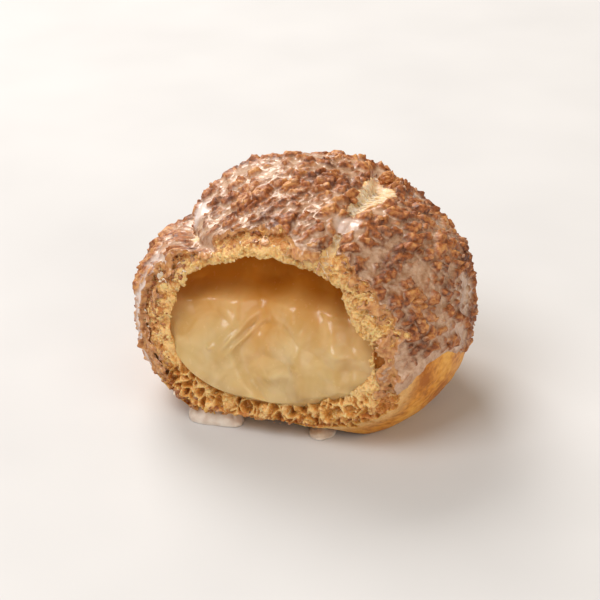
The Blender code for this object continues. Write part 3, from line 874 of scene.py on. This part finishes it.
def scatter(name, home, likely, number, sizes, flatness, seed):
    """Grains of the given sizes, more small than large, where `likely` is high; also their random draw."""
    rng = np.random.default_rng(seed)
    points = points_of(home)
    normals = np.empty(points.size)
    home.data.vertex_normals.foreach_get("vector", normals)
    normals = normals.reshape(-1, 3)
    grains = fine_ball(name, cuts=0, subdivisions=2)
    copies = grains.modifiers.new("copies", "ARRAY")
    copies.count = number
    copies.use_relative_offset = False
    grains.data = finished_mesh(grains)
    grains.modifiers.clear()
    forms = points_of(grains).reshape(number, -1, 3)
    for form, spot in zip(forms, rng.choice(len(points), number, replace=False, p=likely / likely.sum())):
        size = sizes[0] * (sizes[1] / sizes[0]) ** (rng.random() ** 1.5)
        shape = Matrix.Diagonal((1.0, rng.uniform(0.6, 1.0), flatness * rng.uniform(0.7, 1.2))) * (size / 2)
        tilt = Matrix.Rotation(rng.normal(0.0, 0.5), 3, "X")
        tilt = tilt @ Matrix.Rotation(rng.uniform(0.0, 2 * math.pi), 3, "Z")
        upright = Vector(normals[spot]).to_track_quat("Z", "Y").to_matrix()
        place = points[spot] - normals[spot] * size * flatness * GRAIN_SINK
        form[:] = form @ np.array(upright @ tilt @ shape).T + place
    middle = forms.mean(1, keepdims=True)
    swell = 1.0 + GRAIN_SWELL * lumps(forms.reshape(-1, 3), 0.7 * MM, seed).reshape(number, -1, 1)
    points = (middle + (forms - middle) * swell).reshape(-1, 3)
    # No grain reaches the floor.
    points[:, 2] = np.maximum(points[:, 2], GRAIN_FLOOR)
    move_points(grains, points)
    return grains, np.repeat(rng.random(number), forms.shape[1])


# %% Grains of crust, crumbs of choux and chips of glaze
exposed = painted(crust, "broken") < 0.01
bare = smoothstep(-painted(crust, "glaze"), 0.0, 1.0)
crust_grains, draw = scatter(
    "crust_grains", crust, exposed * bare**2, number=220, sizes=mm(0.7, 2.4), flatness=0.45, seed=71
)
paint(crust_grains, "glaze", -0.1 - 1.2 * draw)
torn = painted(body, "torn") > 0.99
rind = painted(body, "rind")
left = smoothstep(-points_of(body)[:, 0], 12 * MM, 32 * MM)
high = smoothstep(points_of(body)[:, 2], 14 * MM, 44 * MM)
likely = torn * rind**2 * (0.3 + left)
rim_grains, draw = scatter("rim_grains", body, likely, number=420, sizes=mm(0.5, 2.2), flatness=0.4, seed=72)
paint(rim_grains, "glaze", -0.2 - 1.2 * draw)
for grains in (crust_grains, rim_grains):
    paint(grains, "crag", 1.0)
likely = torn * (1.05 - rind) * (0.2 + high)
rim_crumbs, draw = scatter("rim_crumbs", body, likely, number=600, sizes=mm(0.4, 1.7), flatness=0.25, seed=73)
paint(rim_crumbs, "torn", 1.0)
paint(rim_crumbs, "pore", 1.6 * draw**2)
likely = torn * rind**2 * (high**2 + left)
rim_chips, _ = scatter("rim_chips", body, likely, number=30, sizes=mm(0.9, 2.2), flatness=0.22, seed=74)
paint(rim_chips, "dry", 1.0)
print("grains on the rim:", int(torn.sum()), "points of the tear to choose from")

# %% [markdown]
# ## Materials
# Colours are written as the hex values that a screen shows, and one function turns them to linear. Nodes
# read the numbers stored at the points, so colour follows the relief: dark in a cell, milky in a pool.

# %% Colour and node helpers
def linear(hex_colour):
    parts = [int(hex_colour[i : i + 2], 16) / 255 for i in (1, 3, 5)]
    parts = [p / 12.92 if p <= 0.04045 else ((p + 0.055) / 1.055) ** 2.4 for p in parts]
    return (*parts, 1.0)


def set_inputs(tree, node, inputs):
    """Link each input to the socket that is given for it, or set its value."""
    for socket, value in inputs.items():
        if isinstance(value, bpy.types.NodeSocket):
            tree.links.new(value, node.inputs[socket])
        else:
            node.inputs[socket].default_value = value


def add_node(tree, kind, inputs, **settings):
    node = tree.nodes.new(kind)
    for name, value in settings.items():
        setattr(node, name, value)
    set_inputs(tree, node, inputs)
    return node


def new_material(name):
    """A material, its node tree and the socket that gives each point's place."""
    material = bpy.data.materials.new(name)
    material.use_nodes = True
    tree = material.node_tree
    return material, tree, add_node(tree, "ShaderNodeTexCoord", {}).outputs["Object"]


def stored_number(tree, name):
    """The number that `paint` stored at the points."""
    return add_node(tree, "ShaderNodeAttribute", {}, attribute_name=name).outputs["Fac"]


def clouds(tree, place, size, detail, **more):
    """Noise with patches about `size` wide."""
    inputs = {"Vector": place, "Scale": 1 / size, "Detail": detail, **more}
    return add_node(tree, "ShaderNodeTexNoise", inputs).outputs["Fac"]


def times_plus(tree, value, factor, added):
    inputs = {0: value, 1: factor, 2: added}
    return add_node(tree, "ShaderNodeMath", inputs, operation="MULTIPLY_ADD").outputs[0]


def remap(tree, value, low, high, to_low, to_high):
    """Turn the range from low to high into the range from to_low to to_high."""
    inputs = {"Value": value, "From Min": low, "From Max": high, "To Min": to_low, "To Max": to_high}
    return add_node(tree, "ShaderNodeMapRange", inputs).outputs[0]


def ramp(tree, value, *stops):
    """Colours between stops, which are given from low to high."""
    node = add_node(tree, "ShaderNodeValToRGB", {"Fac": value})
    for place, _ in stops[1:-1]:
        node.color_ramp.elements.new(place)
    for element, (place, colour) in zip(node.color_ramp.elements, stops):
        element.position = place
        element.color = linear(colour)
    return node.outputs["Color"]


def mixed(tree, share, first, second):
    """The first colour, with this share of the second."""
    return add_node(tree, "ShaderNodeMix", {0: share, 6: first, 7: second}, data_type="RGBA").outputs[2]


def bumpy(tree, height, strength, distance):
    inputs = {"Height": height, "Strength": strength, "Distance": distance}
    return add_node(tree, "ShaderNodeBump", inputs).outputs["Normal"]


def finish_shader(tree, inputs, radius=(1.0, 0.2, 0.1), scale=0.0, weight=0.0):
    """Set the surface's inputs, and how far and how much light scatters below it."""
    inputs = {**inputs, "Subsurface Radius": radius, "Subsurface Scale": scale, "Subsurface Weight": weight}
    set_inputs(tree, tree.nodes["Principled BSDF"], inputs)


# %% [markdown]
# ### Craquelin with sugar glaze
# Craquelin is butter, brown sugar and flour, baked hard: matt and orange-brown, with painted shade in its
# crevices. Sugar glaze dries to a milky film that is clear where thin and whitish where it pools, with a soft
# gloss; a few pools are painted whiter still, as a painted reflection.

# %% Crust material
crust_material, tree, place = new_material("glazed_craquelin")
# Brown sugar crumbs about 1.2 mm wide, and browning that drifts over 9 mm.
crumbs = clouds(tree, place, 1.2 * MM, 4.0)
browning = times_plus(tree, crumbs, 0.55, 0.0)
browning = times_plus(tree, clouds(tree, place, 9 * MM, 2.0), 0.45, browning)
# Painted shade and light: darker in crevices and on low crags, lighter on high ones.
for name, weight in (("crag", 0.02), ("crevice", -0.06), ("pale", 0.09)):
    browning = times_plus(tree, stored_number(tree, name), weight, browning)
brown = ramp(tree, browning, (0.38, "#5E2C0C"), (0.50, "#A05A28"), (0.62, "#CE9254"))
# The film: a little everywhere, more with depth, mottled over 3 mm.
mottle = clouds(tree, place, 3 * MM, 8.0, Roughness=0.72)
film = remap(tree, stored_number(tree, "glaze"), -0.8, 0.3, 0.0, 0.7)
film = remap(tree, times_plus(tree, mottle, 0.9, film), 0.45, 1.05, 0.0, 0.9)
milky = ramp(tree, mottle, (0.35, "#9E6E48"), (0.65, "#DCBBA0"))
# Whiter glaze in some pools: partly its milky colour, partly a painted reflection.
milky = mixed(tree, stored_number(tree, "white_and_sheen"), milky, linear("#E4D5CF"))
biscuit = ramp(tree, crumbs, (0.3, "#A8642F"), (0.7, "#D9A468"))
colour = mixed(tree, stored_number(tree, "broken"), mixed(tree, film, brown, milky), biscuit)
# Grit of the crumbs, about 0.5 mm, too fine for the mesh.
grit = times_plus(tree, clouds(tree, place, 0.55 * MM, 3.0), remap(tree, film, 0.2, 0.8, 1.0, 0.45), 0.0)
surface = {
    "Base Color": colour, "Roughness": remap(tree, film, 0.0, 0.8, 0.55, 0.36), "IOR": 1.48,
    "Coat Weight": remap(tree, film, 0.1, 0.7, 0.1, 0.4), "Coat Roughness": 0.15,
    "Normal": bumpy(tree, grit, 0.7, 0.25 * MM),
}
finish_shader(tree, surface, (1.0, 0.5, 0.3), 1.2 * MM, 0.12)
print("made", crust_material.name)

# %% [markdown]
# ### Choux
# Choux is egg dough, mostly air. Its torn crumb is pale gold and slightly see-through, and deep cells get
# painted shade; its baked skin is smooth, golden brown and mottled; in a crack it is nearly white and silky.

# %% Choux material
choux_material, tree, place = new_material("baked_choux")
torn = stored_number(tree, "torn")
# Browning drifts over 10 mm, and is mottled over 1.5 mm.
drift = clouds(tree, place, 10 * MM, 3.0)
mottle = clouds(tree, place, 1.5 * MM, 4.0)
shade = add_node(tree, "ShaderNodeMix", {0: 0.35, 2: drift, 3: mottle}, data_type="FLOAT").outputs[0]
skin = ramp(tree, shade, (0.40, "#AC6212"), (0.50, "#D68E30"), (0.60, "#EAAE4C"))
stretched = ramp(tree, mottle, (0.35, "#DAB080"), (0.65, "#F9E6C8"))
cavity = ramp(tree, mottle, (0.3, "#B87024"), (0.7, "#DCA65C"))
colour = mixed(tree, stored_number(tree, "split"), skin, stretched)
colour = mixed(tree, stored_number(tree, "inside"), colour, cavity)
# Painted shade: the deeper its cell, the darker the crumb.
shade = times_plus(tree, stored_number(tree, "pore"), -0.26, 0.80)
shade = times_plus(tree, mottle, 0.5, shade)
crumb = ramp(tree, shade, (0.10, "#9A5E22"), (0.45, "#CC8E40"), (0.72, "#DFA65C"), (0.95, "#EDC586"))
# Orange-brown flecks of baked skin near the rind, and pale specks: painted highlights where thin walls catch
# the light.
flecks = clouds(tree, place, 2.2 * MM, 5.0, Roughness=0.65)
flecks = times_plus(tree, stored_number(tree, "rind"), 0.14, flecks)
crumb = mixed(tree, remap(tree, flecks, 0.56, 0.66, 0.0, 0.75), crumb, linear("#BC7032"))
painted_wall_glints = clouds(tree, place, 0.9 * MM, 3.0)
crumb = mixed(tree, remap(tree, painted_wall_glints, 0.58, 0.70, 0.0, 0.7), crumb, linear("#F0D098"))
colour = mixed(tree, torn, colour, crumb)
pocket = remap(tree, stored_number(tree, "blister"), 0.2, 1.2, 0.0, 1.0)
colour = mixed(tree, pocket, colour, linear("#B5732C"))
# Tiny cells of the foam, about 0.6 mm, too fine for the mesh.
foam = add_node(tree, "ShaderNodeTexVoronoi", {"Vector": place, "Scale": 1 / (0.6 * MM)}).outputs["Distance"]
foam = times_plus(tree, clouds(tree, place, 0.8 * MM, 4.0), 0.5, times_plus(tree, torn, foam, 0.0))
surface = {
    "Base Color": colour, "Roughness": remap(tree, torn, 0.0, 1.0, 0.45, 0.5), "IOR": 1.45,
    "Specular IOR Level": 0.35, "Normal": bumpy(tree, foam, 0.6, 0.3 * MM),
}
finish_shader(tree, surface, (1.0, 0.55, 0.25), 1.6 * MM, 0.35)
print("made", choux_material.name)

# %% [markdown]
# ### Custard
# Custard is cooked egg, milk and sugar. Light goes a few millimetres into it, which softens its folds and
# warms their shadows, and its wet skin has a clear, soft gloss.

# %% Custard material
custard_material, tree, place = new_material("custard_cream")
# Slight streaks of thicker cream, about 7 mm apart, and a fine grain of 1.5 mm.
streaks = clouds(tree, place, 7 * MM, 2.0, Distortion=0.6)
grain = clouds(tree, place, 1.5 * MM, 2.0)
tint = ramp(tree, streaks, (0.3, "#C4A268"), (0.7, "#DABF8C"))
# Painted shade and bounced light: the deeper the cream lies in the mouth, the stronger and darker its amber.
deep = remap(tree, stored_number(tree, "recess"), 0.8, 12.5, 0.0, 0.95)
surface = {
    "Base Color": mixed(tree, deep, tint, linear("#E0942E")), "IOR": 1.4, "Coat Weight": 0.35,
    "Roughness": remap(tree, grain, 0.0, 1.0, 0.18, 0.32), "Coat Roughness": 0.1,
    "Normal": bumpy(tree, grain, 0.12, 0.2 * MM),
}
finish_shader(tree, surface, (1.0, 0.6, 0.3), 3 * MM, 0.5)
print("made", custard_material.name)

# %% [markdown]
# ### Set glaze
# Sugar glaze is icing sugar and a little milk. Dry, it is milky and slightly see-through, with a soft
# gloss and a grain of fine crystals; a thin chip of it is whiter and more matt.

# %% Glaze material
glaze_material, tree, place = new_material("set_sugar_glaze")
# Cloudy patches about 3 mm wide, and crystals of 0.5 mm.
tint = ramp(tree, clouds(tree, place, 3 * MM, 3.0), (0.3, "#CDB6A6"), (0.7, "#F0E4DA"))
crystals = clouds(tree, place, 0.5 * MM, 2.0)
# Dry chips on the rim are whiter and rougher.
dry = stored_number(tree, "dry")
surface = {
    "Base Color": mixed(tree, dry, tint, linear("#FBE6CC")), "IOR": 1.46,
    "Roughness": times_plus(tree, dry, 0.4, 0.3), "Normal": bumpy(tree, crystals, 0.25, 0.15 * MM),
}
finish_shader(tree, surface, (1.0, 0.8, 0.7), 2.5 * MM, 0.4)
print("made", glaze_material.name)

# %% [markdown]
# ## Give each piece its finish and its place in the frame
# Every piece rides on the one body and gets its finish, and the solid that it stands for is hidden.

# %% Dress and fix the pieces
# Slot, material, the solid that the pieces stand for, and the pieces.
FINISHES = (
    ("choux", choux_material, "choux_shell", (body, rim_crumbs, crack_strands)),
    ("craquelin", crust_material, "choux_shell", (crust, crust_crumb, crust_grains, rim_grains)),
    ("glaze", glaze_material, "choux_shell", (rim_chips, glaze_foot, glaze_drip)),
    ("custard", custard_material, "custard", (custard,)),
)
for slot, material, node, pieces in FINISHES:
    for piece in pieces:
        piece.data.materials.clear()
        piece.data.materials.append(material)
        piece.data.shade_smooth()
        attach(piece, "root")
        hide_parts(node)
        print(piece.name, len(piece.data.polygons), "triangles")

# %% [markdown]
# ## Floor, light and camera
# The puff stands on a plain pale floor. One large soft light high at the back left gives the gloss and
# the shadow towards the front, one high at the left lights the tear, and a weak one at the right fills it.

# %% Floor
bm = bmesh.new()
bmesh.ops.create_grid(bm, x_segments=4, y_segments=4, size=1.5)
floor = new_piece("floor", bm)
floor_material, tree, place = new_material("pale_studio_floor")
# A faint unevenness over 60 mm keeps the floor from looking like paper.
tint = ramp(tree, clouds(tree, place, 60 * MM, 2.0), (0.3, "#CFD0D3"), (0.7, "#D5D6D9"))
finish_shader(tree, {"Base Color": tint, "Roughness": 0.7, "Specular IOR Level": 0.1})
floor.data.materials.append(floor_material)

# %% Lights
TARGET = Vector((0.0, -0.0032, 0.031))


def add_light(name, azimuth, elevation, distance, size, power, colour):
    """A square soft light that looks at the puff from an azimuth and elevation."""
    light = bpy.data.lights.new(name, "AREA")
    light.shape = "SQUARE"
    light.size = size
    light.energy = power
    light.color = linear(colour)[:3]
    lamp = add_object(name, light)
    lamp.location = TARGET + Vector(direction(azimuth, elevation)) * distance
    lamp.rotation_euler = (TARGET - lamp.location).to_track_quat("-Z", "Y").to_euler()


add_light("key", azimuth=-155, elevation=43, distance=1.5, size=0.8, power=20.0, colour="#FFFAF4")
add_light("top", azimuth=-55, elevation=55, distance=1.4, size=0.8, power=10.5, colour="#FFFFFF")
add_light("fill", azimuth=40, elevation=25, distance=1.3, size=1.0, power=5.5, colour="#FFF6E8")
world = bpy.data.worlds.new("soft_room")
world.use_nodes = True
background = world.node_tree.nodes["Background"]
set_inputs(world.node_tree, background, {"Color": linear("#FAE8CE"), "Strength": 0.38})
bpy.context.scene.world = world
bpy.context.scene.view_settings.view_transform = "Standard"

# %% Camera
CAMERA_DISTANCE, CAMERA_PITCH = 0.45, math.radians(27.5)
# The picture's width, the focal length and the shift, all in pixels, and the sensor's width in mm.
PICTURE, FOCAL, SHIFT_SIDE, SHIFT_UP, SENSOR = 600, 1728, -7, -19, 36.0
lens = bpy.data.cameras.new("camera")
lens.sensor_width = SENSOR
lens.lens = FOCAL * SENSOR / PICTURE
lens.shift_x = SHIFT_SIDE / PICTURE
lens.shift_y = SHIFT_UP / PICTURE
camera = add_object("camera", lens)
away = Vector((0.0, -math.cos(CAMERA_PITCH), math.sin(CAMERA_PITCH)))
camera.location = TARGET + away * CAMERA_DISTANCE
camera.rotation_euler = (-away).to_track_quat("-Z", "Y").to_euler()
bpy.context.scene.camera = camera
